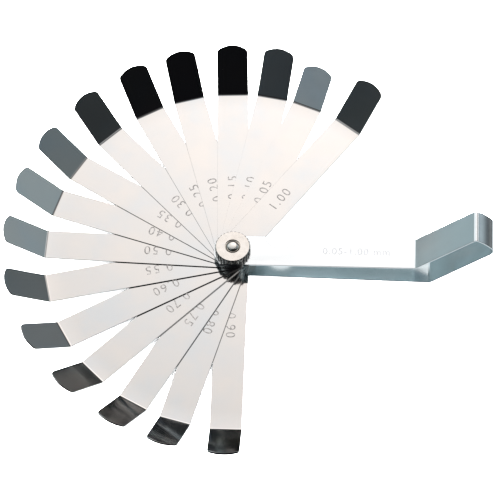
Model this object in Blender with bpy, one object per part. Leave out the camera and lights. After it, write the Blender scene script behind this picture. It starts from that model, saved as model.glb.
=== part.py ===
"""Offset feeler gauge: sixteen cranked steel blades that fan out of a folded sheet case on one clamp screw.

Frame: metres, +Z up. The origin is the centre of the screw head's flat underside, on the pivot axis.
+X runs along the case towards its closed, cranked end. The blades turn about Z.
"""

from math import asin, cos, pi, radians, sin, sqrt, tan

import bmesh
import bpy
from mathutils import Matrix, Vector

MM = 0.001

# Each blade, from the bottom of the stack to the top: its thickness in mm, and the angle in degrees
# from the case at which it stands in the open fan.
BLADES = (
    (0.90, 270.0),
    (0.80, 254.8),
    (0.75, 241.1),
    (0.70, 225.2),
    (0.60, 209.7),
    (0.55, 193.1),
    (0.50, 177.8),
    (0.40, 163.0),
    (0.35, 149.2),
    (0.30, 134.3),
    (0.25, 119.4),
    (0.20, 106.2),
    (0.15, 92.3),
    (0.10, 79.8),
    (0.05, 68.3),
    (1.00, 53.3),
)

# Blades, mm
BLADE_WIDTH = 12.5
BLADE_BEND = 37.0  # degrees that the tip is cranked up
BEND_RADIUS = 75.2  # from the pivot axis to the crease, at the height BEND_HEIGHT
BEND_HEIGHT = 6.0
TIP_LENGTH = 20.3  # along the tip, from its crease to the end
FOIL = 0.05  # the thinnest blade, whose tip is cut shorter
FOIL_TIP_LENGTH = 17.0
TIP_SAG = 1.9  # how far the arc of the end falls back at its corners
TIP_CORNER = 1.0
PIVOT_HOLE = 2.65
STACK_GAP = 0.015  # between neighbours in the stack

# Case: one strip folded double
SHEET = 0.6
CASE_WIDTH = 13.3
CASE_TAIL = 7.4  # from the pivot axis to the plates' open end
TAIL_CUT = (2.5, 4.0)  # the corners cut off at that end, along and across the case
CASE_BEND = 45.0  # degrees
TOP_BEND_X = 72.4
CRANK_LENGTH = 33.0  # along the top plate, from its crease to the end's sharp corner
END_HEIGHT = 12.4  # across the cranked part, over both plates
BOTTOM_BEND_LEAD = 3.8  # the bottom plate's crease comes this much before the point square below the top one's
FLAT_RUN = 9.0  # the bottom plate is parallel to the top one this far past the pivot
TOP_BEND_INSIDE = 0.5
BOTTOM_BEND_INSIDE = 1.5
END_CORNER_TOP = 2.0
END_CORNER_BOTTOM = 4.0
NOTCH_X = 18.9
NOTCH_RADIUS = 6.3
NOTCH_DEPTH = 5.0

# Clamp screw and its knurled nut
SHANK = 2.5
HEAD_RADIUS = 4.75
HEAD_HEIGHT = 1.6
HEAD_CHAMFER = 0.35
PLATE_GAP = 0.02  # between the sheet and the head or the nut
NUT_RADIUS = 7.0
NUT_FACE = 6.6
NUT_HEIGHT = 2.9
NUT_CHAMFER = 0.4
NUT_FOOT = 6.55  # radius of its flat underside
KNURL_TEETH = 28
KNURL_DEPTH = 0.35
KNURL_TOOTH = ((0.0, 0.0), (0.3, 1.0), (0.7, 1.0))  # shares of the pitch and of the depth
COUNTERSINK = 3.05
SCREW_END = ((SHANK, -0.2), (2.25, 0.33), (1.5, 0.6))  # radius, and height above the nut's face

# Facets
TURNS = 32
HOLE_POINTS = 24
TAIL_POINTS = 14
COLUMNS = (0.0, 0.42, 0.808, 0.94, 1.0)  # shares of the blade's half width
ARC_STEP = radians(11.25)
SHARP_EDGE = radians(30)
CUT_OVERRUN = 2.0

PLATE_UNDERSIDE = HEAD_HEIGHT + PLATE_GAP
STACK_FLOOR = PLATE_UNDERSIDE + SHEET
STACK_HEIGHT = sum(t for t, _ in BLADES) + STACK_GAP * (len(BLADES) + 1)
STACK_ROOF = STACK_FLOOR + STACK_HEIGHT
CASE_TOP = STACK_ROOF + SHEET
NUT_BASE = CASE_TOP + PLATE_GAP
NUT_TOP = NUT_BASE + NUT_HEIGHT


def clear_scene():
    for obj in list(bpy.data.objects):
        bpy.data.objects.remove(obj, do_unlink=True)


def steel(name, colour, roughness):
    material = bpy.data.materials.new(name)
    material.use_nodes = True
    shader = material.node_tree.nodes["Principled BSDF"]
    shader.inputs["Base Color"].default_value = (*colour, 1.0)
    shader.inputs["Metallic"].default_value = 1.0
    shader.inputs["Roughness"].default_value = roughness
    return material


def add_object(name, bm, material, parent=None, turn=0.0):
    """The finished mesh as an object, turned about the pivot axis by `turn` degrees."""
    bmesh.ops.recalc_face_normals(bm, faces=bm.faces)
    bmesh.ops.scale(bm, vec=(MM, MM, MM), verts=bm.verts)
    mesh = bpy.data.meshes.new(name)
    bm.to_mesh(mesh)
    bm.free()
    mesh.shade_smooth()
    mesh.set_sharp_from_angle(angle=SHARP_EDGE)
    mesh.materials.append(material)
    obj = bpy.data.objects.new(name, mesh)
    bpy.context.scene.collection.objects.link(obj)
    obj.parent = parent
    obj.rotation_euler.z = radians(turn)
    return obj


def circle(radius, count, start=0.0, sweep=2 * pi, closed=True):
    steps = count if closed else count - 1
    return [
        (radius * cos(start + sweep * i / steps), radius * sin(start + sweep * i / steps))
        for i in range(count)
    ]


def crease_radius(z):
    """Creases step inwards from blade to blade, so that the cranked tips lie flat on each other."""
    return BEND_RADIUS + (BEND_HEIGHT - z) * tan(radians(BLADE_BEND) / 2)


def tip_end(share):
    """How far the tip's end falls back at this share of its half width."""
    half = BLADE_WIDTH / 2
    back = TIP_SAG * share * share
    into_corner = abs(share) * half - (half - TIP_CORNER)
    if into_corner > 0:
        back += TIP_CORNER - sqrt(max(TIP_CORNER**2 - into_corner**2, 0.0))
    return back


def blade_surface(z, z_top, tip_length):
    """Outline points of one face of a blade at height z: the flat part's, and the end of the tip's."""
    half = BLADE_WIDTH / 2
    crease = crease_radius(z)
    end = crease_radius(z_top) + tip_length * cos(radians(BLADE_BEND))
    end += (z_top - z) * sin(radians(BLADE_BEND))
    shares = [-s for s in reversed(COLUMNS[1:])] + list(COLUMNS)
    fold, tip = [], []
    for share in shares:
        v = share * half
        reach = end - tip_end(share) * cos(radians(BLADE_BEND))
        fold.append(Vector((sqrt(crease**2 - v**2), v, z)))
        rise = (reach - crease) * tan(radians(BLADE_BEND))
        tip.append(Vector((sqrt(reach**2 - v**2), v, z + rise)))
    tail = [
        Vector((x, y, z)) for x, y in circle(half, TAIL_POINTS + 1, pi / 2, pi, closed=False)
    ]
    hole = [Vector((x, y, z)) for x, y in circle(PIVOT_HOLE, HOLE_POINTS)]
    return fold, tip, tail, hole


def loop_edges(bm, verts):
    return [bm.edges.get(pair) or bm.edges.new(pair) for pair in zip(verts, verts[1:] + verts[:1])]


def wall(bm, lower, upper):
    for i in range(len(lower)):
        j = (i + 1) % len(lower)
        bm.faces.new((lower[i], lower[j], upper[j], upper[i]))


def blade_mesh(z, thickness):
    """A blade with a round, pierced tail and a tip cranked about an arc round the pivot."""
    tip_length = FOIL_TIP_LENGTH if thickness == FOIL else TIP_LENGTH
    bm = bmesh.new()
    outlines, holes = [], []
    for height in (z, z + thickness):
        fold, tip, tail, hole = (
            [bm.verts.new(p) for p in points]
            for points in blade_surface(height, z + thickness, tip_length)
        )
        rim = loop_edges(bm, fold + tail) + loop_edges(bm, hole)
        bmesh.ops.triangle_fill(bm, edges=rim, use_beauty=True)
        for i in range(len(fold) - 1):
            bm.faces.new((fold[i], tip[i], tip[i + 1], fold[i + 1]))
        outlines.append(tip + [fold[-1]] + tail + [fold[0]])
        holes.append(hole)
    wall(bm, *outlines)
    wall(bm, *holes)
    return bm


def rounded(points, radii):
    """The open path through these points, with each inner corner made an arc of its radius."""
    path = [Vector(points[0])]
    for before, corner, after, radius in zip(points, points[1:], points[2:], radii):
        corner = Vector(corner)
        u = (Vector(before) - corner).normalized()
        v = (Vector(after) - corner).normalized()
        half_angle = u.angle(v) / 2
        centre = corner + (u + v).normalized() * radius / sin(half_angle)
        start = corner + u * radius / tan(half_angle) - centre
        stop = corner + v * radius / tan(half_angle) - centre
        sweep = start.angle_signed(stop)
        steps = max(2, round(abs(sweep) / ARC_STEP))
        for i in range(steps + 1):
            path.append(centre + Matrix.Rotation(-sweep * i / steps, 2) @ start)
    path.append(Vector(points[-1]))
    return path


def case_corners(inset):
    """Corners of the strip's side view, `inset` inside its outer face, from the top plate's open end."""
    bend = radians(CASE_BEND)
    along = Vector((cos(bend), sin(bend)))
    down = Vector((sin(bend), -cos(bend)))
    top_crease = Vector((TOP_BEND_X, CASE_TOP))
    end_top = top_crease + along * CRANK_LENGTH
    end_bottom = end_top + down * END_HEIGHT
    plate_start = Vector((FLAT_RUN, PLATE_UNDERSIDE))
    bottom_crease = end_bottom - along * (CRANK_LENGTH + BOTTOM_BEND_LEAD)
    corners = [
        Vector((-CASE_TAIL, CASE_TOP)),
        top_crease,
        end_top,
        end_bottom,
        bottom_crease,
        plate_start,
        Vector((-CASE_TAIL, PLATE_UNDERSIDE)),
    ]
    if not inset:
        return corners
    sides = [(b - a).normalized() for a, b in zip(corners, corners[1:])]
    normals = [Vector((s.y, -s.x)) for s in sides]
    moved = [corners[0] + normals[0] * inset]
    for corner, first, second in zip(corners[1:], normals, normals[1:]):
        moved.append(corner + (first + second) * inset / (1 + first.dot(second)))
    moved.append(corners[-1] + normals[-1] * inset)
    return moved


def case_mesh():
    bm = bmesh.new()
    outer_radii = (
        TOP_BEND_INSIDE,
        END_CORNER_TOP,
        END_CORNER_BOTTOM,
        BOTTOM_BEND_INSIDE + SHEET,
        BOTTOM_BEND_INSIDE + SHEET,
    )
    inner_radii = (
        TOP_BEND_INSIDE + SHEET,
        END_CORNER_TOP - SHEET,
        END_CORNER_BOTTOM - SHEET,
        BOTTOM_BEND_INSIDE,
        BOTTOM_BEND_INSIDE,
    )
    outer = rounded(case_corners(0.0), outer_radii)
    inner = rounded(case_corners(SHEET), inner_radii)
    rows = []
    for side in (-CASE_WIDTH / 2, CASE_WIDTH / 2):
        rows.append(
            (
                [bm.verts.new((p.x, side, p.y)) for p in outer],
                [bm.verts.new((p.x, side, p.y)) for p in inner],
            )
        )
    (outer_a, inner_a), (outer_b, inner_b) = rows
    last = len(outer) - 1
    for i in range(last):
        bm.faces.new((outer_a[i], outer_a[i + 1], outer_b[i + 1], outer_b[i]))
        bm.faces.new((inner_a[i], inner_b[i], inner_b[i + 1], inner_a[i + 1]))
        bm.faces.new((outer_a[i], inner_a[i], inner_a[i + 1], outer_a[i + 1]))
        bm.faces.new((outer_b[i], outer_b[i + 1], inner_b[i + 1], inner_b[i]))
    for i in (0, last):
        bm.faces.new((outer_a[i], outer_b[i], inner_b[i], inner_a[i]))
    return bm


def prism(outline, low, high):
    bm = bmesh.new()
    floor = [bm.verts.new((x, y, low)) for x, y in outline]
    roof = [bm.verts.new((x, y, high)) for x, y in outline]
    bm.faces.new(list(reversed(floor)))
    bm.faces.new(roof)
    wall(bm, floor, roof)
    return bm


def cut(target, name, bm, material):
    """Takes the cutter's shape out of the target, and keeps the cutter hidden beside it."""
    cutter = add_object(name, bm, material, parent=target.parent)
    cutter.hide_render = True
    cutter.display_type = "WIRE"
    boolean = target.modifiers.new(name, "BOOLEAN")
    boolean.operation = "DIFFERENCE"
    boolean.object = cutter


def corner_cutter(side):
    """The triangle outside the slanted cut at the open end's corner, run on past both plate edges."""
    start = Vector((-CASE_TAIL, side * (CASE_WIDTH / 2 - TAIL_CUT[1])))
    stop = Vector((TAIL_CUT[0] - CASE_TAIL, side * CASE_WIDTH / 2))
    overrun = (stop - start) / 2
    start, stop = start - overrun, stop + overrun
    outline = [start, stop, Vector((start.x, stop.y))]
    return outline if side > 0 else list(reversed(outline))


def make_case(parent, material):
    case = add_object("case", case_mesh(), material, parent)
    low, high = PLATE_UNDERSIDE - CUT_OVERRUN, CASE_TOP + CUT_OVERRUN
    cut(case, "cut_pivot", prism(circle(PIVOT_HOLE, HOLE_POINTS), low, high), material)
    centre_y = CASE_WIDTH / 2 - NOTCH_DEPTH + NOTCH_RADIUS
    notch = [(NOTCH_X + x, centre_y + y) for x, y in circle(NOTCH_RADIUS, TURNS)]
    cut(case, "cut_notch", prism(notch, low, high), material)
    for side, name in ((-1, "cut_corner_near"), (1, "cut_corner_far")):
        cut(case, name, prism(corner_cutter(side), low, high), material)
    return case


def turned(profile, segments):
    """A solid of revolution about Z from (radius, height) points that start and end on the axis or close up."""
    bm = bmesh.new()
    rings = []
    for radius, z in profile:
        if radius == 0:
            rings.append([bm.verts.new((0, 0, z))])
        else:
            rings.append([bm.verts.new((x, y, z)) for x, y in circle(radius, segments)])
    closed = len(rings[0]) > 1
    pairs = zip(rings, rings[1:] + rings[:1]) if closed else zip(rings, rings[1:])
    for lower, upper in pairs:
        for i in range(segments):
            j = (i + 1) % segments
            if len(lower) == 1:
                bm.faces.new((lower[0], upper[j], upper[i]))
            elif len(upper) == 1:
                bm.faces.new((lower[i], lower[j], upper[0]))
            else:
                bm.faces.new((lower[i], lower[j], upper[j], upper[i]))
    return bm


def make_screw(parent, material):
    end = [(radius, NUT_TOP + height) for radius, height in SCREW_END]
    profile = [
        (0, 0),
        (HEAD_RADIUS - HEAD_CHAMFER, 0),
        (HEAD_RADIUS, HEAD_CHAMFER),
        (HEAD_RADIUS, HEAD_HEIGHT),
        (SHANK, HEAD_HEIGHT),
        *end,
        (0, end[-1][1]),
    ]
    return add_object("clamp_screw", turned(profile, TURNS), material, parent)


def nut_mesh():
    """Straight coarse knurl: every tooth is a flat-topped ridge that runs the height of the rim."""
    root = NUT_RADIUS - KNURL_DEPTH
    step = 2 * pi / KNURL_TEETH
    rim = [
        (root + KNURL_DEPTH * rise, step * (i + share))
        for i in range(KNURL_TEETH)
        for share, rise in KNURL_TOOTH
    ]
    count = len(rim)
    levels = (
        (NUT_BASE, None, PIVOT_HOLE),
        (NUT_BASE, NUT_FOOT, None),
        (NUT_BASE + NUT_CHAMFER, NUT_RADIUS, None),
        (NUT_TOP - NUT_CHAMFER, NUT_RADIUS, None),
        (NUT_TOP, NUT_FACE, None),
        (NUT_TOP, None, COUNTERSINK),
        (NUT_TOP - (COUNTERSINK - PIVOT_HOLE), None, PIVOT_HOLE),
    )
    bm = bmesh.new()
    rings = []
    for z, limit, bore in levels:
        ring = []
        for radius, angle in rim:
            r = bore if bore else min(radius, limit)
            ring.append(bm.verts.new((r * cos(angle), r * sin(angle), z)))
        rings.append(ring)
    for lower, upper in zip(rings, rings[1:] + rings[:1]):
        for i in range(count):
            j = (i + 1) % count
            bm.faces.new((lower[i], lower[j], upper[j], upper[i]))
    return bm


def blade_name(thickness):
    return f"blade_{thickness:.2f}".replace(".", "_")


def make_blades(parent, material):
    z = STACK_FLOOR + STACK_GAP
    for thickness, turn in BLADES:
        add_object(blade_name(thickness), blade_mesh(z, thickness), material, parent, turn)
        z += thickness + STACK_GAP


def main():
    clear_scene()
    pivot = bpy.data.objects.new("pivot", None)
    bpy.context.scene.collection.objects.link(pivot)
    plated = steel("plated_case_steel", (0.72, 0.76, 0.78), 0.18)
    spring = steel("polished_blade_steel", (0.80, 0.79, 0.77), 0.14)
    turned_steel = steel("turned_steel", (0.78, 0.75, 0.70), 0.25)
    make_case(pivot, plated)
    make_screw(pivot, turned_steel)
    add_object("clamp_nut", nut_mesh(), turned_steel, pivot)
    make_blades(pivot, spring)


main()
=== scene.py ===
# %% [markdown]
# # An offset feeler gauge
#
# A feeler gauge is a set of steel blades of known thickness. A mechanic slides one blade after another
# into a gap until one just fits. This one has sixteen cranked blades in a folded steel case, on one clamp
# screw. The solid model of every piece exists already, so this lesson starts by loading it. It gives each
# moving piece a body to ride on, and measures the box round the whole model.

from math import cos, pi, radians, sin, sqrt, tan

import bmesh
import bpy
from mathutils import Matrix, Vector


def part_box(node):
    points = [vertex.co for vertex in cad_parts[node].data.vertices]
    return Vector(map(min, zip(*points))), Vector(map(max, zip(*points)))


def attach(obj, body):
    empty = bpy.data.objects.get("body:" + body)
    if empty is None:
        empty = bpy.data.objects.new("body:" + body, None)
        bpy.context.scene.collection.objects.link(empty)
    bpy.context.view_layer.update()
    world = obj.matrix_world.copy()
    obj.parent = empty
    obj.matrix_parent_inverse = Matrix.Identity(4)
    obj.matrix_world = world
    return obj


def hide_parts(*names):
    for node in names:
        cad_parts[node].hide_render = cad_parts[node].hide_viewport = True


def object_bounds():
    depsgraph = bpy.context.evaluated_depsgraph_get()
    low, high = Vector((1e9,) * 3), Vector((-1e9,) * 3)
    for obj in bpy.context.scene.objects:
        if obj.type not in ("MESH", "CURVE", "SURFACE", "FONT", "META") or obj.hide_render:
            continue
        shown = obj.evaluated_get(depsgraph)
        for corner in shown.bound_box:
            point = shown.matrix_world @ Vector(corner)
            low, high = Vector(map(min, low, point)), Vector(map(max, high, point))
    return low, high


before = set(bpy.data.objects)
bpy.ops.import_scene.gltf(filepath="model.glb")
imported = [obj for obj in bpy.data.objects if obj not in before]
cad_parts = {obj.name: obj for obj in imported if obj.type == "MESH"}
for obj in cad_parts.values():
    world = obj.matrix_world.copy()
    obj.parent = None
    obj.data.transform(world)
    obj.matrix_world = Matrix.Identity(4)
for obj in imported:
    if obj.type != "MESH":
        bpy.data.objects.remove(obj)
cad_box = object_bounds()
MM = 0.001
print("nodes:", len(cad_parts), "box:", cad_box)

# %% [markdown]
# ## The view
#
# The tool is shown lying flat, seen from well above and from some distance, so that the fan keeps its
# round shape. A long lens does that: the nearer the camera, the more the near blades would swell. The
# camera is placed by five plain settings: heading, elevation, tilt, distance and the point it aims at.

# %% Camera
HEADING = 4.41  # degrees anticlockwise of +Y, seen from above
ELEVATION = 60.0
TILT = 2.6
DISTANCE = 1.337
AIM = Vector((6.518, 3.856, 4.149)) * MM
SENSOR_WIDTH = 36.0
FOCAL_LENGTH = 241.3
NEAREST, FARTHEST = 0.05, 50.0  # metres


def heading_turn():
    return Matrix.Rotation(radians(HEADING), 3, "Z")


def make_camera():
    data = bpy.data.cameras.new("camera")
    data.sensor_width = SENSOR_WIDTH
    data.lens = FOCAL_LENGTH
    data.clip_start = NEAREST
    data.clip_end = FARTHEST
    camera = bpy.data.objects.new("camera", data)
    bpy.context.scene.collection.objects.link(camera)
    lean = radians(ELEVATION)
    across = Vector((1, 0, 0))
    rise = Vector((0, sin(lean), cos(lean)))
    ahead = Vector((0, cos(lean), -sin(lean)))
    tilt = radians(TILT)
    right = heading_turn() @ (across * cos(tilt) - rise * sin(tilt))
    up = heading_turn() @ (across * sin(tilt) + rise * cos(tilt))
    ahead = heading_turn() @ ahead
    pose = Matrix((right, up, -ahead)).transposed().to_4x4()
    pose.translation = AIM - ahead * DISTANCE
    camera.matrix_world = pose
    bpy.context.scene.camera = camera
    return camera


camera = make_camera()
print("camera at", [round(v, 3) for v in camera.location])

# %% [markdown]
# ## The studio
#
# Polished steel has little colour of its own to show: it shows the room. So the room matters more than
# any material here. A mirror-like blade turns white where it faces a lit wall and black where it faces a
# dark one. Cards and softboxes would do it, and so would a painted sky. The painted sky is chosen,
# because soft patches of light, each with a direction, a width and a strength, are easy to move one by
# one. The flat blades mirror the warm softbox beyond the tool, and the cranked tips mirror whatever lies
# between the lights, which is why some are black and some grey. The patches below the horizon stand in
# for a lit table: the steep faces of the case mirror them.

# %% Room lights
# name: degrees to the right of the line of sight, degrees up, width in degrees, strength, colour
ROOM_LIGHTS = {
    "softbox": (9, 50, 10, 1.64, (1.0, 0.96, 0.94)),
    "softbox_right": (50, 38, 7, 0.9, (0.95, 0.98, 1.0)),
    "softbox_left": (-40, 45, 12, 1.1, (0.93, 0.98, 1.0)),
    "ceiling": (-10, 71, 13, 0.33, (0.92, 0.97, 1.0)),
    "right_wall": (78, 25, 15, 0.42, (0.74, 0.92, 1.0)),
    "right_window": (63, 9, 7, 0.34, (0.78, 0.92, 1.0)),
    "right_high": (92, 60, 8, 0.5, (0.95, 0.98, 1.0)),
    "left_high": (-90, 60, 8, 0.5, (0.95, 0.98, 1.0)),
    "left_wall": (-62, 2, 23, 0.46, (0.73, 0.94, 1.0)),
    "far_window": (37, 6, 7, 0.19, (0.80, 0.93, 1.0)),
    "far_wall": (6, -12, 12, 0.04, (0.72, 0.86, 1.0)),
    "left_lamp": (-135, 44, 7, 0.33, (0.70, 0.88, 1.0)),
    "table_beyond": (8, -58, 9, 0.50, (0.86, 0.98, 1.0)),
    "table_right": (60, -38, 12, 1.5, (0.90, 0.97, 1.0)),
    "table_near": (90, -62, 13, 1.1, (0.90, 0.97, 1.0)),
    "table_left": (-90, -56, 18, 0.9, (0.90, 0.97, 1.0)),
    "table_front": (180, -60, 18, 0.85, (0.86, 0.96, 1.0)),
}
ROOM_DARK = (0.005, 0.005, 0.006)
print("room lights:", ", ".join(ROOM_LIGHTS))

# %% One soft light


def towards(right_degrees, up_degrees):
    """Unit vector to a place in the room, counted from the camera's line of sight."""
    a, e = radians(right_degrees), radians(up_degrees)
    return heading_turn() @ Vector((sin(a) * cos(e), cos(a) * cos(e), sin(e)))


def light_patch(tree, direction, place, width, strength, colour):
    """A soft round patch: exp(k (cos - 1)) falls off like a bell over `width` degrees."""
    nodes, links = tree.nodes, tree.links
    dot = nodes.new("ShaderNodeVectorMath")
    dot.operation = "DOT_PRODUCT"
    dot.inputs[1].default_value = place
    links.new(direction, dot.inputs[0])
    shifted = nodes.new("ShaderNodeMath")
    shifted.operation = "SUBTRACT"
    shifted.inputs[1].default_value = 1.0
    links.new(dot.outputs["Value"], shifted.inputs[0])
    scaled = nodes.new("ShaderNodeMath")
    scaled.operation = "MULTIPLY"
    scaled.inputs[1].default_value = 1.0 / radians(width) ** 2
    links.new(shifted.outputs[0], scaled.inputs[0])
    bell = nodes.new("ShaderNodeMath")
    bell.operation = "EXPONENT"
    links.new(scaled.outputs[0], bell.inputs[0])
    tinted = nodes.new("ShaderNodeVectorMath")
    tinted.operation = "SCALE"
    tinted.inputs[0].default_value = Vector(colour) * strength
    links.new(bell.outputs[0], tinted.inputs["Scale"])
    return tinted.outputs[0]


print("the softbox lies towards", [round(v, 2) for v in towards(*ROOM_LIGHTS["softbox"][:2])])

# %% The painted room


def make_room():
    world = bpy.data.worlds.new("studio_room")
    world.use_nodes = True
    tree = world.node_tree
    tree.nodes.clear()
    output = tree.nodes.new("ShaderNodeOutputWorld")
    background = tree.nodes.new("ShaderNodeBackground")
    coordinates = tree.nodes.new("ShaderNodeTexCoord")
    normalise = tree.nodes.new("ShaderNodeVectorMath")
    normalise.operation = "NORMALIZE"
    tree.links.new(coordinates.outputs["Generated"], normalise.inputs[0])
    total = None
    for right, up, width, strength, colour in ROOM_LIGHTS.values():
        patch = light_patch(
            tree, normalise.outputs[0], towards(right, up), width, strength, colour
        )
        add = tree.nodes.new("ShaderNodeVectorMath")
        add.operation = "ADD"
        if total is None:
            add.inputs[0].default_value = ROOM_DARK
        else:
            tree.links.new(total, add.inputs[0])
        tree.links.new(patch, add.inputs[1])
        total = add.outputs[0]
    tree.links.new(total, background.inputs["Color"])
    tree.links.new(background.outputs[0], output.inputs["Surface"])
    bpy.context.scene.world = world


make_room()
bpy.context.scene.view_settings.view_transform = "Standard"
print("patches of light in the room:", len(ROOM_LIGHTS))

# %% [markdown]
# ## Floor and fill light
#
# The tool lies on a plain pale table. One large soft light overhead makes the table plain white right
# into the narrow gaps between the blades. A painted backdrop could do that too, but it wouldn't light the
# etched numbers. The light is hidden from mirror reflections, and so is the table: otherwise the polished
# tips would turn white too, and lose the dark tone that makes them stand out.

# %% Floor
FLOOR_SIDE = 6.0
FILL_SIDE = 5.0
FILL_HEIGHT = 1.6
FILL_POWER = 1400.0
TABLE_TONE = (0.92, 0.92, 0.92, 1.0)
TABLE_ROUGHNESS = 0.9
TABLE_SHINE = 0.1


def make_floor():
    mesh = bpy.data.meshes.new("floor")
    half = FLOOR_SIDE / 2
    low = cad_box[0][2]
    corners = [(-half, -half, low), (half, -half, low), (half, half, low), (-half, half, low)]
    mesh.from_pydata(corners, [], [(0, 1, 2, 3)])
    floor = bpy.data.objects.new("floor", mesh)
    bpy.context.scene.collection.objects.link(floor)
    material = bpy.data.materials.new("pale_table")
    material.use_nodes = True
    shader = material.node_tree.nodes["Principled BSDF"]
    shader.inputs["Base Color"].default_value = TABLE_TONE
    shader.inputs["Roughness"].default_value = TABLE_ROUGHNESS
    shader.inputs["Specular IOR Level"].default_value = TABLE_SHINE
    mesh.materials.append(material)
    floor.visible_glossy = False


def make_fill():
    data = bpy.data.lights.new("fill", "AREA")
    data.shape = "SQUARE"
    data.size = FILL_SIDE
    data.energy = FILL_POWER
    light = bpy.data.objects.new("fill", data)
    light.location = (0, 0, FILL_HEIGHT)
    light.visible_glossy = False
    bpy.context.scene.collection.objects.link(light)


make_floor()
make_fill()
print("floor at", round(cad_box[0][2] / MM, 3), "mm")

# %% [markdown]
# ## Blade steel
#
# The blades are hardened spring steel, rolled to thickness and polished. The colour is a slightly warm
# grey. Handling leaves faint cloudy marks that change how sharp the reflection is, and thin strip is
# never quite flat. One Principled shader with metallic 1 does the metal. One slow noise clouds the
# colour, another the roughness, and a third tilts the surface a very little. All of it is worked out from
# the position on the piece, so no image file is needed. The thinnest blade is a foil, which is a touch
# duller.

# %% Node helpers


def new_metal(name):
    """A metal, its Principled shader, and the piece's own coordinates in metres."""
    material = bpy.data.materials.new(name)
    material.use_nodes = True
    tree = material.node_tree
    shader = tree.nodes["Principled BSDF"]
    shader.inputs["Metallic"].default_value = 1.0
    place = tree.nodes.new("ShaderNodeTexCoord").outputs["Object"]
    return material, tree, shader, place


def noise(tree, place, scale, detail=3.0, stretch=(1, 1, 1)):
    """Noise with `scale` bumps to the metre, stretched along the axes."""
    mapping = tree.nodes.new("ShaderNodeMapping")
    mapping.inputs["Scale"].default_value = stretch
    tree.links.new(place, mapping.inputs["Vector"])
    texture = tree.nodes.new("ShaderNodeTexNoise")
    texture.inputs["Scale"].default_value = scale
    texture.inputs["Detail"].default_value = detail
    tree.links.new(mapping.outputs[0], texture.inputs["Vector"])
    return texture.outputs["Fac"]


def spread(tree, factor, low, high, between=(0.3, 0.7)):
    """The factor's useful middle, stretched to run from low to high."""
    span = tree.nodes.new("ShaderNodeMapRange")
    span.inputs["From Min"].default_value = between[0]
    span.inputs["From Max"].default_value = between[1]
    span.inputs["To Min"].default_value = low
    span.inputs["To Max"].default_value = high
    tree.links.new(factor, span.inputs["Value"])
    return span.outputs[0]


def tones(tree, factor, colours):
    """A colour ramp through these (position, colour) stops."""
    ramp = tree.nodes.new("ShaderNodeValToRGB")
    stops = ramp.color_ramp.elements
    while len(stops) < len(colours):
        stops.new(0.5)
    for stop, (position, colour) in zip(stops, colours):
        stop.position = position
        stop.color = (*colour, 1.0)
    tree.links.new(factor, ramp.inputs["Fac"])
    return ramp.outputs["Color"]


def bump(tree, shader, height, distance, strength=1.0):
    node = tree.nodes.new("ShaderNodeBump")
    node.inputs["Strength"].default_value = strength
    node.inputs["Distance"].default_value = distance
    tree.links.new(height, node.inputs["Height"])
    tree.links.new(node.outputs[0], shader.inputs["Normal"])


print("helpers for metals: noise, spread, tones and bump")

# %% Blade steel material
STEEL_TONES = (
    (0.3, (0.722, 0.730, 0.735)),
    (0.5, (0.765, 0.740, 0.718)),
    (0.7, (0.795, 0.752, 0.714)),
)  # cool, middle and warm grey, by position in the noise
STEEL_CLOUDS = 60  # bumps to the metre, as for the next two
STEEL_MARKS = 160
STEEL_WAVES = 45
STEEL_WAVE_HEIGHT = 0.00002  # metres


def blade_steel(name, roughness, dull):
    """Polished strip. `dull` is the roughness of its clouded patches."""
    material, tree, shader, place = new_metal(name)
    clouds = noise(tree, place, STEEL_CLOUDS, detail=5.0)
    tree.links.new(tones(tree, clouds, STEEL_TONES), shader.inputs["Base Color"])
    marks = noise(tree, place, STEEL_MARKS, detail=6.0)
    tree.links.new(spread(tree, marks, roughness, dull), shader.inputs["Roughness"])
    waviness = noise(tree, place, STEEL_WAVES, detail=1.0)
    bump(tree, shader, waviness, STEEL_WAVE_HEIGHT)
    return material


steel = blade_steel("polished_blade_steel", 0.05, 0.11)
foil = blade_steel("rolled_foil_steel", 0.07, 0.13)
print("blade finishes:", steel.name, foil.name)

# %% [markdown]
# ## Blades
#
# Each blade is a strip 12.5 mm wide with a round tail, a hole for the screw, and a tip cranked up by 37
# degrees. Bending leaves a small radius, which shows as a fine line, so the fold can't be a sharp crease.
# A bevel on a plain folded box could make it. Building the strip from rows of points is chosen instead:
# the rows are close together in the fold, and every blade is the same function with its own height and
# thickness. Each blade folds a little nearer the screw than the one under it, so that the tips nest.

# %% Blade sizes
# millimetres, unless it says degrees
BLADE_WIDTH = 12.5
BEND = radians(37.0)
BEND_RADIUS = 75.2  # from the pivot to the crease, at BEND_HEIGHT
BEND_HEIGHT = 6.0
TIP_LENGTH = 20.3
TIP_SAG = 2.1  # how far the round end falls back at its corners
TIP_CORNER = 1.0
SMALLEST_CORNER = 0.1
FOIL = 0.05  # the thinnest blade, whose tip is cut shorter
FOIL_TIP_LENGTH = 17.0
FOIL_TIP_CORNER = 0.4
PIVOT_HOLE = 2.65
FOLD_RADIUS = 1.8  # inside the fold
FOLD_SET = 0.13  # the fold is straight, so it lies this much inside the arc of the same distance
FOLD_ROWS = 12
BROKEN_EDGE = 0.06
EDGE_SHARE = 0.22  # the broken edge of a thin blade is at most this share of its thickness
PLAIN_ROWS = (12.0, 24.0, 36.0, 48.0, 60.0, 68.0)  # the tail, with its hole, ends at the first
TIP_ROWS = (0.25, 0.5, 0.75, 1.0)  # shares of the way from the fold to the end
SHARES = (0.0, 0.2, 0.4, 0.58, 0.72, 0.84, 0.88, 0.92, 0.955, 0.98, 1.0)  # of the half width

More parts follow.
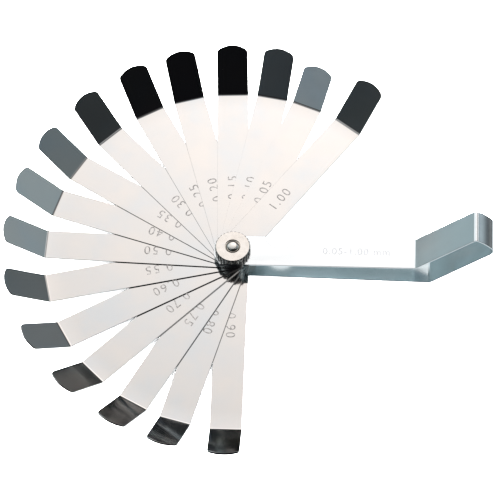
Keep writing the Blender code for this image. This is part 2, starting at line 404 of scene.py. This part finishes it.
# thickness in mm, and degrees from the case in the open fan, from the bottom of the stack to the top
FAN = (
    (0.90, 270.0),
    (0.80, 254.8),
    (0.75, 241.1),
    (0.70, 225.2),
    (0.60, 209.7),
    (0.55, 193.1),
    (0.50, 177.8),
    (0.40, 163.0),
    (0.35, 149.2),
    (0.30, 134.3),
    (0.25, 119.4),
    (0.20, 106.2),
    (0.15, 92.3),
    (0.10, 79.8),
    (0.05, 68.3),
    (1.00, 53.3),
)
print("blades:", len(FAN), "together", round(sum(thickness for thickness, _ in FAN), 2), "mm thick")

# %% Blade profile


def crease_radius(z):
    """How far from the pivot a face at this height would crease: higher faces crease nearer."""
    return BEND_RADIUS + (BEND_HEIGHT - z) * tan(BEND / 2)


def fold_profile(z, radius):
    """(distance from the pivot, height) along one face, through the fold."""
    crease = crease_radius(z)
    start = crease - radius * tan(BEND / 2)
    points = [(rho, z) for rho in PLAIN_ROWS]
    for i in range(FOLD_ROWS + 1):
        angle = BEND * i / FOLD_ROWS
        points.append((start + radius * sin(angle), z + radius * (1 - cos(angle))))
    return points


def tip_fall(share, half, corner):
    """How far the rounded end falls back at this share of the half width."""
    back = TIP_SAG * share * share
    into_corner = abs(share) * half - (half - corner)
    if into_corner > 0:
        back += corner - sqrt(max(corner**2 - into_corner**2, 0.0))
    return back


print("a face at 2 mm would crease", round(crease_radius(2.0), 2), "mm from the pivot")

# %% Blade rows


def blade_rows(base, thickness, level, inset, tip_length, corner):
    """Rows of points over one face of a blade, at `level` in its thickness, `inset` from its outline."""
    z = base + level
    half = BLADE_WIDTH / 2 - inset
    top = base + thickness
    end = crease_radius(top) + tip_length * cos(BEND) + (thickness - level) * sin(BEND)
    end -= inset * cos(BEND)
    profile = fold_profile(z, FOLD_RADIUS + thickness - level)
    last_rho, last_z = profile[-1]
    shares = [-s for s in reversed(SHARES[1:])] + list(SHARES)
    rows = [
        [Vector((rho - FOLD_SET, s * half, h)) for s in shares]
        for rho, h in profile
    ]
    rounding = max(corner - inset, SMALLEST_CORNER)
    for part in TIP_ROWS:
        row = []
        for s in shares:
            reach = end - tip_fall(s, half, rounding) * cos(BEND)
            rho = last_rho + (reach - last_rho) * part
            height = last_z + (rho - last_rho) * tan(BEND)
            row.append(Vector((rho - FOLD_SET, s * half, height)))
        rows.append(row)
    return rows


print("rows to a face:", len(blade_rows(0.0, 1.0, 0.0, 0.0, TIP_LENGTH, TIP_CORNER)))

# %% Mesh helpers


def arc(radius, steps, start, sweep):
    return [
        (radius * cos(start + sweep * i / steps), radius * sin(start + sweep * i / steps))
        for i in range(steps + 1)
    ]


def circle(radius, steps):
    return arc(radius, steps, 0, 2 * pi)[:-1]


def closed_pairs(items):
    return list(zip(items, items[1:] + items[:1]))


def edge_ring(bm, verts):
    return [bm.edges.get(pair) or bm.edges.new(pair) for pair in closed_pairs(verts)]


def skin(bm, lower, upper):
    """A wall of quads between two closed rings of as many points."""
    for (a, b), (c, d) in zip(closed_pairs(lower), closed_pairs(upper)):
        bm.faces.new((a, b, d, c))


print("helpers for meshes: arc, circle, edge_ring and skin")

# %% Blade mesh
TAIL_STEPS = 28
HOLE_STEPS = 40


def blade_layer(bm, base, thickness, level, inset, tip_length, corner):
    """The points of one layer: the rows, and the outline and hole that the walls join."""
    points = blade_rows(base, thickness, level, inset, tip_length, corner)
    rows = [[bm.verts.new(p) for p in row] for row in points]
    half = BLADE_WIDTH / 2 - inset
    z = base + level
    tail = [bm.verts.new((x, y, z)) for x, y in arc(half, TAIL_STEPS, pi / 2, pi)]
    hole = [bm.verts.new((x, y, z)) for x, y in circle(PIVOT_HOLE + inset, HOLE_STEPS)]
    right = [row[0] for row in rows]
    left = [row[-1] for row in reversed(rows)]
    outline = right + rows[-1][1:-1] + left + tail
    return rows, outline, hole, tail


def blade_mesh(base, thickness, tip_length, corner):
    bm = bmesh.new()
    edge = min(BROKEN_EDGE, thickness * EDGE_SHARE)
    levels = ((0.0, edge), (edge, 0.0), (thickness - edge, 0.0), (thickness, edge))
    layers = []
    for level, inset in levels:
        layers.append(blade_layer(bm, base, thickness, level, inset, tip_length, corner))
    for rows, _, hole, tail in (layers[0], layers[-1]):
        rim = edge_ring(bm, rows[0] + tail) + edge_ring(bm, hole)
        bmesh.ops.triangle_fill(bm, edges=rim, use_beauty=True)
        for near, far in zip(rows, rows[1:]):
            for i in range(len(near) - 1):
                bm.faces.new((near[i], far[i], far[i + 1], near[i + 1]))
    for lower, upper in zip(layers, layers[1:]):
        skin(bm, lower[1], upper[1])
        skin(bm, lower[2], upper[2])
    loose = [v for v in bm.verts if not v.link_faces]
    bmesh.ops.delete(bm, geom=loose, context="VERTS")
    return bm


print("tail in", TAIL_STEPS, "steps, hole in", HOLE_STEPS)

# %% Blades in the fan
SMOOTH_BELOW = radians(28)  # edges that turn more than this stay sharp


def finish_piece(name, bm, material, turn=0.0):
    """The mesh in millimetres becomes an object in metres, turned about the pivot."""
    bmesh.ops.recalc_face_normals(bm, faces=bm.faces)
    bm.transform(Matrix.Rotation(radians(turn), 4, "Z") @ Matrix.Scale(MM, 4))
    mesh = bpy.data.meshes.new(name)
    bm.to_mesh(mesh)
    bm.free()
    mesh.shade_smooth()
    mesh.set_sharp_from_angle(angle=SMOOTH_BELOW)
    mesh.materials.append(material)
    piece = bpy.data.objects.new(name, mesh)
    bpy.context.scene.collection.objects.link(piece)
    return piece


def node_name(thickness):
    return f"blade_{thickness:.2f}".replace(".", "_")


blade_tops = {}
for thickness, turn in FAN:
    node = node_name(thickness)
    is_foil = thickness == FOIL
    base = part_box(node)[0].z / MM
    tip_length = FOIL_TIP_LENGTH if is_foil else TIP_LENGTH
    corner = FOIL_TIP_CORNER if is_foil else TIP_CORNER
    bm = blade_mesh(base, thickness, tip_length, corner)
    piece = finish_piece("steel_" + node, bm, foil if is_foil else steel, turn)
    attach(piece, node)
    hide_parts(node)
    blade_tops[thickness] = base + thickness
    print(node, "at", round(base, 3), "mm,", len(piece.data.polygons), "faces")

# %% [markdown]
# ## Thickness numbers
#
# Each blade carries its thickness in millimetres, etched electrically: a thin dark oxide film with no
# depth to speak of. Engraving it with a Boolean would cut thousands of slivers for something too shallow
# to see. A text object turned into a mesh, a few thousandths of a millimetre proud of the steel, looks
# the same. The film is only partly metallic, and wears a little lighter in spots.

# %% Etched film material
FILM_METALLIC = 0.35
FILM_ROUGHNESS = 0.55
FILM_WEAR = 900  # bumps to the metre
FILM_GRAIN = 0.000004  # metres


def etched_film(name, dark, light):
    material, tree, shader, place = new_metal(name)
    shader.inputs["Metallic"].default_value = FILM_METALLIC
    shader.inputs["Roughness"].default_value = FILM_ROUGHNESS
    wear = noise(tree, place, FILM_WEAR)
    stops = ((0.35, dark), (0.7, light))
    tree.links.new(tones(tree, wear, stops), shader.inputs["Base Color"])
    bump(tree, shader, wear, FILM_GRAIN)
    return material


NUMBER_TONES = ((0.024, 0.0225, 0.0215), (0.0625, 0.059, 0.057))  # dark, worn
number_film = etched_film("etched_number", *NUMBER_TONES)
print("film:", number_film.name)

# %% Numbers
NUMBER_SIZE = 5.4
NUMBER_SPACING = 1.24
NUMBER_PLACE = (30.0, 0.0)  # along and across the blade, mm
STROKE_THINNING = 0.02
LETTER_STEPS = 6
FILM_GAP = 0.004  # between the steel and the film, so that the two faces don't flicker
FILM_THICKNESS = 0.004


def lettering(name, text, size, spacing, material, place, height, turn):
    """Flat film letters centred at `place` along and across a piece turned `turn` degrees from +X."""
    along, across = place
    curve = bpy.data.curves.new(name, "FONT")
    curve.body = text
    curve.size = size * MM
    curve.space_character = spacing
    curve.align_x = "CENTER"
    curve.align_y = "CENTER"
    curve.resolution_u = LETTER_STEPS
    curve.extrude = FILM_THICKNESS * MM / 2
    curve.offset = -STROKE_THINNING * MM
    source = bpy.data.objects.new(name + "_text", curve)
    bpy.context.scene.collection.objects.link(source)
    bpy.context.view_layer.update()
    graph = bpy.context.evaluated_depsgraph_get()
    mesh = bpy.data.meshes.new_from_object(source.evaluated_get(graph))
    bpy.data.objects.remove(source, do_unlink=True)
    lift = height + FILM_GAP + FILM_THICKNESS / 2
    shift = Matrix.Translation(Vector((along, across, lift)) * MM)
    mesh.transform(Matrix.Rotation(radians(turn), 4, "Z") @ shift)
    mesh.name = name
    mesh.materials.clear()
    mesh.materials.append(material)
    piece = bpy.data.objects.new(name, mesh)
    bpy.context.scene.collection.objects.link(piece)
    return piece


for thickness, turn in FAN:
    node = node_name(thickness)
    mark = lettering(
        "number_" + node,
        f"{thickness:.2f}",
        NUMBER_SIZE,
        NUMBER_SPACING,
        number_film,
        NUMBER_PLACE,
        blade_tops[thickness],
        turn,
    )
    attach(mark, node)
print("numbers:", len(FAN), "width", round(mark.dimensions.x / MM, 2), "mm")

# %% [markdown]
# ## Nickel plating
#
# The case is nickel plated, nearly white on its outer faces. Its inner faces, inside the channel between
# the plates, get a darker blue grey copy of the plating: painted shade for the channel, where the light
# bounces between the plates. One material for the whole strip would be simpler, but it would leave the
# channel as bright as the outside. So one function makes both platings, with different tones and
# roughness. Its rub marks are noise stretched along the strip, and a fine ripple keeps the mirror from
# being perfect.

# %% Nickel plating
PLATE_CLOUDS = 55  # bumps to the metre, as for the next two
PLATE_RUB = 300
PLATE_RIPPLE = 1800
RUB_STRETCH = (0.15, 1, 1)
RIPPLE_HEIGHT = 0.0000015  # metres
BRIGHT_TONES = ((0.89, 0.92, 0.93), (0.94, 0.955, 0.96))
# the inner faces' plating: a darker, bluer copy, painted shade for the channel
SHADED_INNER_TONES = ((0.69, 0.78, 0.81), (0.76, 0.835, 0.865))


def nickel_plating(name, colours, sharp, soft):
    """Bright plating whose roughness runs from `sharp` to `soft` in its rub marks."""
    material, tree, shader, place = new_metal(name)
    clouds = noise(tree, place, PLATE_CLOUDS, detail=4.0)
    stops = tuple(zip((0.3, 0.7), colours))
    tree.links.new(tones(tree, clouds, stops), shader.inputs["Base Color"])
    rub = noise(tree, place, PLATE_RUB, detail=5.0, stretch=RUB_STRETCH)
    tree.links.new(spread(tree, rub, sharp, soft), shader.inputs["Roughness"])
    ripple = noise(tree, place, PLATE_RIPPLE)
    bump(tree, shader, ripple, RIPPLE_HEIGHT)
    return material


plating = nickel_plating("bright_nickel_plate", BRIGHT_TONES, 0.12, 0.2)
# the darker inner plating paints the channel's shade
shaded_inner = nickel_plating("shaded_inner_nickel_plate", SHADED_INNER_TONES, 0.14, 0.24)
print("case finishes:", plating.name, shaded_inner.name)

# %% [markdown]
# ## Case
#
# The case is one strip of sheet steel, 0.6 mm thick, folded double round its cranked end. Both plates are
# pierced for the screw, a thumb notch is punched in one long edge, and the free corners are cut at a
# slant. The end wall springs out a little in its middle, as a folded wall does. Bending a flat plate with
# modifiers could make it. Instead the strip is drawn from the side as a path with rounded corners and
# then given its width, because each bend then has exactly its own radius. Booleans punch the holes, the
# notch and the corners, as a press would, and a fine bevel breaks every cut edge, which is what catches
# the light.

# %% Case sizes
# millimetres
SHEET = 0.6
CASE_WIDTH = 13.3
CASE_TAIL = 7.4  # from the pivot to the plates' open end
TAIL_CUT = (2.5, 4.0)  # the slanted corners there, along and across the case
CASE_BEND = radians(45.0)
TOP_BEND_X = 72.4
CRANK_LENGTH = 33.0
END_HEIGHT = 12.4
BOTTOM_BEND_LEAD = 3.8  # the bottom plate bends this much before the top one
FLAT_RUN = 9.0  # the plates are parallel this far past the pivot
# outside radii, from the top plate's bend round to the bottom plate's, and which way the inner face's
# radius differs: it is larger where the outer face is hollow
CASE_RADII = (0.5, 2.0, 4.0, 2.1, 2.1)
CASE_TURNS = (1, -1, -1, -1, -1)
NOTCH_X = 18.9
NOTCH_RADIUS = 6.3
NOTCH_DEPTH = 5.0
NOTCH_STEPS = 72
CUT_EDGE = 0.11
CASE_ARC = radians(5.0)  # one step round a bend
FEWEST_STEPS = 4
END_BULGE = 0.22  # the end wall springs out this much in its middle
BULGE_FROM = 3.0  # only a straight run longer than this springs
BULGE_STEPS = 12
print("case strip:", SHEET, "x", CASE_WIDTH, "mm")

# %% Case path


def rounded_path(points, radii):
    """The path through these points, with each inner corner made an arc of its radius."""
    path = [Vector(points[0])]
    for before, corner, after, radius in zip(points, points[1:], points[2:], radii):
        corner = Vector(corner)
        u = (Vector(before) - corner).normalized()
        v = (Vector(after) - corner).normalized()
        half_angle = u.angle(v) / 2
        centre = corner + (u + v).normalized() * radius / sin(half_angle)
        start = corner + u * radius / tan(half_angle) - centre
        stop = corner + v * radius / tan(half_angle) - centre
        sweep = start.angle_signed(stop)
        steps = max(FEWEST_STEPS, round(abs(sweep) / CASE_ARC))
        for i in range(steps + 1):
            path.append(centre + Matrix.Rotation(-sweep * i / steps, 2) @ start)
    path.append(Vector(points[-1]))
    return path


def sprung(path, start, stop):
    """The path with its straight run between these two corners pushed out into a shallow arc."""
    along = (stop - start).normalized()
    out = Vector((-along.y, along.x))
    on_line = [abs((p - start).dot(out)) < 0.01 for p in path]
    result = []
    for i, here in enumerate(path):
        result.append(here)
        if i + 1 < len(path) and on_line[i] and on_line[i + 1]:
            gap = path[i + 1] - here
            if gap.dot(along) > BULGE_FROM:
                for step in range(1, BULGE_STEPS):
                    share = step / BULGE_STEPS
                    rise = END_BULGE * 4 * share * (1 - share)
                    result.append(here + gap * share + out * rise)
    return result


def case_corners(inset, low, high):
    """Corners of the side view, `inset` inside the outer face, from the top plate's open end."""
    along = Vector((cos(CASE_BEND), sin(CASE_BEND)))
    down = Vector((sin(CASE_BEND), -cos(CASE_BEND)))
    top_crease = Vector((TOP_BEND_X, high))
    end_top = top_crease + along * CRANK_LENGTH
    end_bottom = end_top + down * END_HEIGHT
    bottom_crease = end_bottom - along * (CRANK_LENGTH + BOTTOM_BEND_LEAD)
    corners = [
        Vector((-CASE_TAIL, high)),
        top_crease,
        end_top,
        end_bottom,
        bottom_crease,
        Vector((FLAT_RUN, low)),
        Vector((-CASE_TAIL, low)),
    ]
    sides = [(b - a).normalized() for a, b in zip(corners, corners[1:])]
    normals = [Vector((s.y, -s.x)) for s in sides]
    moved = [corners[0] + normals[0] * inset]
    for corner, first, second in zip(corners[1:], normals, normals[1:]):
        moved.append(corner + (first + second) * inset / (1 + first.dot(second)))
    moved.append(corners[-1] + normals[-1] * inset)
    return moved


print("corners along the case's side:", len(case_corners(0.0, 0.0, 9.0)))

# %% Case strip


def strip_mesh(low, high):
    """The folded strip, with its inner faces in the second material slot."""
    bm = bmesh.new()
    paths = []
    for inset in (0.0, SHEET):
        corners = case_corners(inset, low, high)
        radii = [radius + inset * turn for radius, turn in zip(CASE_RADII, CASE_TURNS)]
        paths.append(sprung(rounded_path(corners, radii), corners[2], corners[3]))
    outer, inner = paths
    sides = []
    for y in (-CASE_WIDTH / 2, CASE_WIDTH / 2):
        sides.append([[bm.verts.new((p.x, y, p.y)) for p in path] for path in (outer, inner)])
    (outer_a, inner_a), (outer_b, inner_b) = sides
    for i in range(len(outer) - 1):
        bm.faces.new((outer_a[i], outer_a[i + 1], outer_b[i + 1], outer_b[i]))
        inside = bm.faces.new((inner_a[i], inner_b[i], inner_b[i + 1], inner_a[i + 1]))
        # the inner faces take the darker plating, painted shade for the channel
        inside.material_index = 1
        bm.faces.new((outer_a[i], inner_a[i], inner_a[i + 1], outer_a[i + 1]))
        bm.faces.new((outer_b[i], outer_b[i + 1], inner_b[i + 1], inner_b[i]))
    for i in (0, len(outer) - 1):
        bm.faces.new((outer_a[i], outer_b[i], inner_b[i], inner_a[i]))
    return bm


print("the strip is", round(SHEET * CASE_WIDTH, 2), "square mm in section")

# %% Case punches
PUNCH_OVERRUN = 2


def punch(outline, low, high):
    """A straight-sided punch with this outline."""
    bm = bmesh.new()
    floor = [bm.verts.new((x, y, low)) for x, y in outline]
    roof = [bm.verts.new((x, y, high)) for x, y in outline]
    bm.faces.new(list(reversed(floor)))
    bm.faces.new(roof)
    skin(bm, floor, roof)
    return finish_piece("punch", bm, plating)


def corner_outline(side):
    """The triangle outside one slanted corner, run on past both edges."""
    start = Vector((-CASE_TAIL, side * (CASE_WIDTH / 2 - TAIL_CUT[1])))
    stop = Vector((TAIL_CUT[0] - CASE_TAIL, side * CASE_WIDTH / 2))
    overrun = (stop - start) / 2
    start, stop = start - overrun, stop + overrun
    outline = [start, stop, Vector((start.x, stop.y))]
    return outline if side > 0 else list(reversed(outline))


def punch_outlines():
    centre_y = CASE_WIDTH / 2 - NOTCH_DEPTH + NOTCH_RADIUS
    notch = [(NOTCH_X + x, centre_y + y) for x, y in circle(NOTCH_RADIUS, NOTCH_STEPS)]
    return [circle(PIVOT_HOLE, HOLE_STEPS), notch, corner_outline(-1), corner_outline(1)]


print("punches:", len(punch_outlines()))

# %% Case
STACK_GAP = 0.015
PLATE_GAP = 0.02
BEVEL_STEPS = 2
BEVEL_ABOVE = radians(50)
FLAT_WEIGHT = 100


def make_case(name):
    plate_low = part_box("blade_0_90")[0].z / MM - STACK_GAP - SHEET
    plate_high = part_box("clamp_nut")[0].z / MM - PLATE_GAP
    case = finish_piece(name, strip_mesh(plate_low, plate_high), plating)
    # second slot, for the inner faces: the darker plating that paints the channel's shade
    case.data.materials.append(shaded_inner)
    low, high = plate_low - PUNCH_OVERRUN, plate_high + PUNCH_OVERRUN
    punches = [punch(outline, low, high) for outline in punch_outlines()]
    for tool in punches:
        boolean = case.modifiers.new("punch", "BOOLEAN")
        boolean.object = tool
        boolean.solver = "EXACT"
    broken_edge = case.modifiers.new("broken edge", "BEVEL")
    broken_edge.width = CUT_EDGE * MM
    broken_edge.segments = BEVEL_STEPS
    broken_edge.limit_method = "ANGLE"
    broken_edge.angle_limit = BEVEL_ABOVE
    broken_edge.use_clamp_overlap = False
    broken_edge.miter_outer = "MITER_ARC"
    true_flats = case.modifiers.new("true flats", "WEIGHTED_NORMAL")
    true_flats.weight = FLAT_WEIGHT
    true_flats.keep_sharp = True
    bpy.context.view_layer.update()
    graph = bpy.context.evaluated_depsgraph_get()
    mesh = bpy.data.meshes.new_from_object(case.evaluated_get(graph))
    case.modifiers.clear()
    case.data = mesh
    for tool in punches:
        bpy.data.objects.remove(tool, do_unlink=True)
    return case, plate_high


case, case_top = make_case("folded_case")
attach(case, "case")
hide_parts("case")
print("case top at", round(case_top, 3), "mm,", len(case.data.polygons), "faces")

# %% [markdown]
# ## Range on the case
#
# The top plate carries the range of the set, printed so faintly that it hardly shows on the bright
# plating. A stamped mark would need a cut in the plate. The same flat film as for the numbers is enough,
# in a tone that is close to what the plate reflects.

# %% Range on the case
RANGE_TONES = ((0.0625, 0.064, 0.066), (0.085, 0.0865, 0.0885))  # dark, worn
RANGE_SIZE = 4.2
RANGE_SPACING = 1.15
RANGE_PLACE = (49.0, 0.2)  # along and across the case, mm

case_film = etched_film("etched_range", *RANGE_TONES)
range_mark = lettering(
    "range_mark",
    "0.05-1.00 mm",
    RANGE_SIZE,
    RANGE_SPACING,
    case_film,
    RANGE_PLACE,
    case_top,
    0.0,
)
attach(range_mark, "case")
print("range mark", round(range_mark.dimensions.x / MM, 1), "mm long")

# %% [markdown]
# ## Turned steel
#
# The screw and the nut are turned on a lathe and plated, which leaves a warm bright face with rings of
# fine tool marks. Real grooves would be far too many faces. A wave of rings about the axis, used as a
# very shallow bump, spreads the reflection round the axis in the same way.

# %% Turned steel
TURNED_CLOUDS = 160  # bumps to the metre, as for the next one
TURNED_RUB = 700
RINGS_SCALE = 1600.0
RINGS_WANDER = 0.6
RINGS_HEIGHT = 0.000002  # metres
RINGS_STRENGTH = 0.5


def turned_metal(name, low, high, sharp, soft):
    """Lathe-turned and plated: rings of fine tool marks about the axis."""
    material, tree, shader, place = new_metal(name)
    clouds = noise(tree, place, TURNED_CLOUDS, detail=4.0)
    stops = ((0.3, low), (0.7, high))
    tree.links.new(tones(tree, clouds, stops), shader.inputs["Base Color"])
    rub = noise(tree, place, TURNED_RUB, detail=4.0)
    tree.links.new(spread(tree, rub, sharp, soft), shader.inputs["Roughness"])
    flat = tree.nodes.new("ShaderNodeVectorMath")
    flat.operation = "MULTIPLY"
    flat.inputs[1].default_value = (1, 1, 0)
    tree.links.new(place, flat.inputs[0])
    rings = tree.nodes.new("ShaderNodeTexWave")
    rings.wave_type = "RINGS"
    rings.rings_direction = "SPHERICAL"
    rings.inputs["Scale"].default_value = RINGS_SCALE
    rings.inputs["Distortion"].default_value = RINGS_WANDER
    tree.links.new(flat.outputs[0], rings.inputs["Vector"])
    bump(tree, shader, rings.outputs["Fac"], RINGS_HEIGHT, RINGS_STRENGTH)
    return material


NUT_TONES = ((0.86, 0.79, 0.72), (0.91, 0.86, 0.81))
SCREW_TONES = ((0.80, 0.76, 0.71), (0.88, 0.85, 0.80))
nut_steel = turned_metal("turned_nut_steel", *NUT_TONES, 0.16, 0.26)
screw_steel = turned_metal("turned_screw_steel", *SCREW_TONES, 0.12, 0.2)
print("turned finishes:", nut_steel.name, screw_steel.name)

# %% [markdown]
# ## Screw and knurled nut
#
# The screw holds the stack together. Its head is flat, under the case, and its rounded end stands out of
# the nut. A cylinder with bevels could stand in for it, but a profile spun about the axis is how a lathe
# makes it, and gives every step its own radius. The nut's rim has a coarse straight knurl for the
# fingers: every tooth is a ridge with a broken top edge. Cutting the teeth one by one with Booleans is
# slow, so the rim's outline is drawn tooth by tooth and stacked in levels, each held in to that level's
# largest radius.

# %% Spun screw
# millimetres
SPIN_STEPS = 64
HEAD_RADIUS = 4.75
HEAD_HEIGHT = 1.6
HEAD_CHAMFER = 0.35
HEAD_BREAK = 0.08
SHANK = 2.5
SCREW_RISE = 0.6
# radius, and height above the nut's top face
SCREW_END = (
    (SHANK, -0.75),
    (SHANK - 0.02, -0.3),
    (SHANK - 0.12, -0.02),
    (SHANK - 0.32, 0.26),
    (SHANK - 0.62, 0.47),
    (1.62, 0.56),
    (1.42, SCREW_RISE),
    (0, SCREW_RISE),
)


def spun(profile, steps):
    """A closed solid from (radius, height) points that begin and end on the axis."""
    bm = bmesh.new()
    rings = []
    for radius, z in profile:
        if radius == 0:
            rings.append([bm.verts.new((0, 0, z))])
        else:
            rings.append([bm.verts.new((x, y, z)) for x, y in circle(radius, steps)])
    for lower, upper in zip(rings, rings[1:]):
        for i in range(steps):
            j = (i + 1) % steps
            if len(lower) == 1:
                bm.faces.new((lower[0], upper[j], upper[i]))
            elif len(upper) == 1:
                bm.faces.new((lower[i], lower[j], upper[0]))
            else:
                bm.faces.new((lower[i], lower[j], upper[j], upper[i]))
    return bm


def screw_profile(nut_top):
    head = [
        (0, 0),
        (HEAD_RADIUS - HEAD_CHAMFER, 0),
        (HEAD_RADIUS, HEAD_CHAMFER),
        (HEAD_RADIUS, HEAD_HEIGHT - HEAD_BREAK),
        (HEAD_RADIUS - HEAD_BREAK, HEAD_HEIGHT),
        (SHANK, HEAD_HEIGHT),
    ]
    return head + [(radius, nut_top + rise) for radius, rise in SCREW_END]


nut_low, nut_high = (corner.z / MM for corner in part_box("clamp_nut"))
screw = finish_piece("domed_screw", spun(screw_profile(nut_high), SPIN_STEPS), screw_steel)
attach(screw, "case")
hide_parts("clamp_screw")
print("screw end", round(nut_high + SCREW_RISE, 2), "mm")

# %% Knurled nut
NUT_RADIUS = 7.0
NUT_FACE = 6.6
KNURL_TEETH = 28
KNURL_DEPTH = 0.45
COUNTERSINK = 3.05
# shares of one tooth's pitch, and of its depth, from valley to valley
TOOTH = (
    (0.0, 0.0),
    (0.1, 0.06),
    (0.2, 0.5),
    (0.29, 0.92),
    (0.37, 1.0),
    (0.63, 1.0),
    (0.71, 0.92),
    (0.8, 0.5),
    (0.9, 0.06),
)
# height from the underside or from the top face, then the largest radius there, or a plain bore's radius
NUT_FOOT_LEVELS = (
    (0.12, None, PIVOT_HOLE),
    (0.0, None, PIVOT_HOLE + 0.12),
    (0.0, NUT_FACE - 0.1, None),
    (0.22, 6.82, None),
    (0.42, NUT_RADIUS, None),
)
NUT_TOP_LEVELS = (
    (-0.42, NUT_RADIUS, None),
    (-0.22, 6.88, None),
    (-0.06, 6.7, None),
    (0.0, NUT_FACE, None),
    (0.0, None, COUNTERSINK + 0.05),
    (-0.06, None, COUNTERSINK - 0.03),
    (-0.4, None, PIVOT_HOLE),
)


def nut_mesh(low, high):
    """A ring of stacked levels, from the bore's foot up round the knurl and down into the countersink."""
    pitch = 2 * pi / KNURL_TEETH
    rim = [
        (NUT_RADIUS - KNURL_DEPTH * (1 - rise), pitch * (i + share))
        for i in range(KNURL_TEETH)
        for share, rise in TOOTH
    ]
    levels = [(low + step, limit, bore) for step, limit, bore in NUT_FOOT_LEVELS]
    levels += [(high + step, limit, bore) for step, limit, bore in NUT_TOP_LEVELS]
    bm = bmesh.new()
    rings = []
    for z, limit, bore in levels:
        ring = []
        for radius, angle in rim:
            r = bore if bore else min(radius, limit)
            ring.append(bm.verts.new((r * cos(angle), r * sin(angle), z)))
        rings.append(ring)
    for lower, upper in closed_pairs(rings):
        skin(bm, lower, upper)
    return bm


nut = finish_piece("knurled_nut", nut_mesh(nut_low, nut_high), nut_steel)
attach(nut, "nut")
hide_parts("clamp_nut")
print("nut", KNURL_TEETH, "teeth,", len(nut.data.polygons), "faces")
